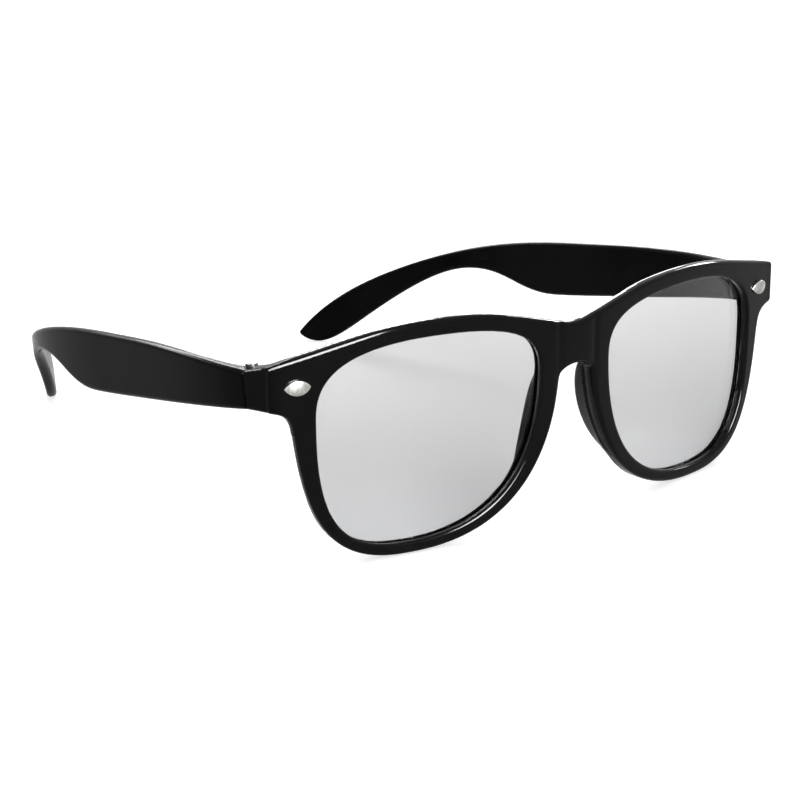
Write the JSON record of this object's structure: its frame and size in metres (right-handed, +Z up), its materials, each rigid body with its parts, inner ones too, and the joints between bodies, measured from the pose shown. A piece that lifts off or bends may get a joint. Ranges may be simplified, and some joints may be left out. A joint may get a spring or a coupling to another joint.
{
  "type": "reading glasses",
  "caption": "Square full-rim plastic reading glasses with clear lenses, oval metal studs, moulded nose pads and folding temples on barrel hinges.",
  "frame": {"origin": "on the floor, under the middle of the width and of the depth, with the glasses standing open on the rims and the temple tips", "axes": "+Z up, the front faces -Y, +X towards the wearer's left"},
  "size_m": [0.1436, 0.1584, 0.0491],
  "materials": {
    "front_plastic": "polished black",
    "temple_plastic": "satin black outside, polished inside",
    "lens_clear": "clear, polished",
    "stud_metal": "polished",
    "hinge_metal": "blackened, satin",
    "screw_metal": "bright"
  },
  "bodies": {
    "front": {"front_frame": "front_plastic", "right_lens": "lens_clear", "left_lens": "lens_clear", "right_stud": "stud_metal", "left_stud": "stud_metal", "right_front_hinge": "hinge_metal", "left_front_hinge": "hinge_metal", "right_hinge_screw": "screw_metal", "left_hinge_screw": "screw_metal"},
    "right_temple_arm": {"right_temple": "temple_plastic", "right_temple_hinge": "hinge_metal"},
    "left_temple_arm": {"left_temple": "temple_plastic", "left_temple_hinge": "hinge_metal"}
  },
  "joints": [
    {"name": "left_temple_fold", "type": "hinge", "parent": "front", "child": "left_temple_arm", "pos_m": [0.0674, -0.05764, 0.03743], "axis": [0, 0.1279, 0.9918], "range_deg": [0, 80]},
    {"name": "right_temple_fold", "type": "hinge", "parent": "front", "child": "right_temple_arm", "pos_m": [-0.0674, -0.05764, 0.03743], "axis": [0, -0.1279, -0.9918], "range_deg": [0, 64]}
  ]
}
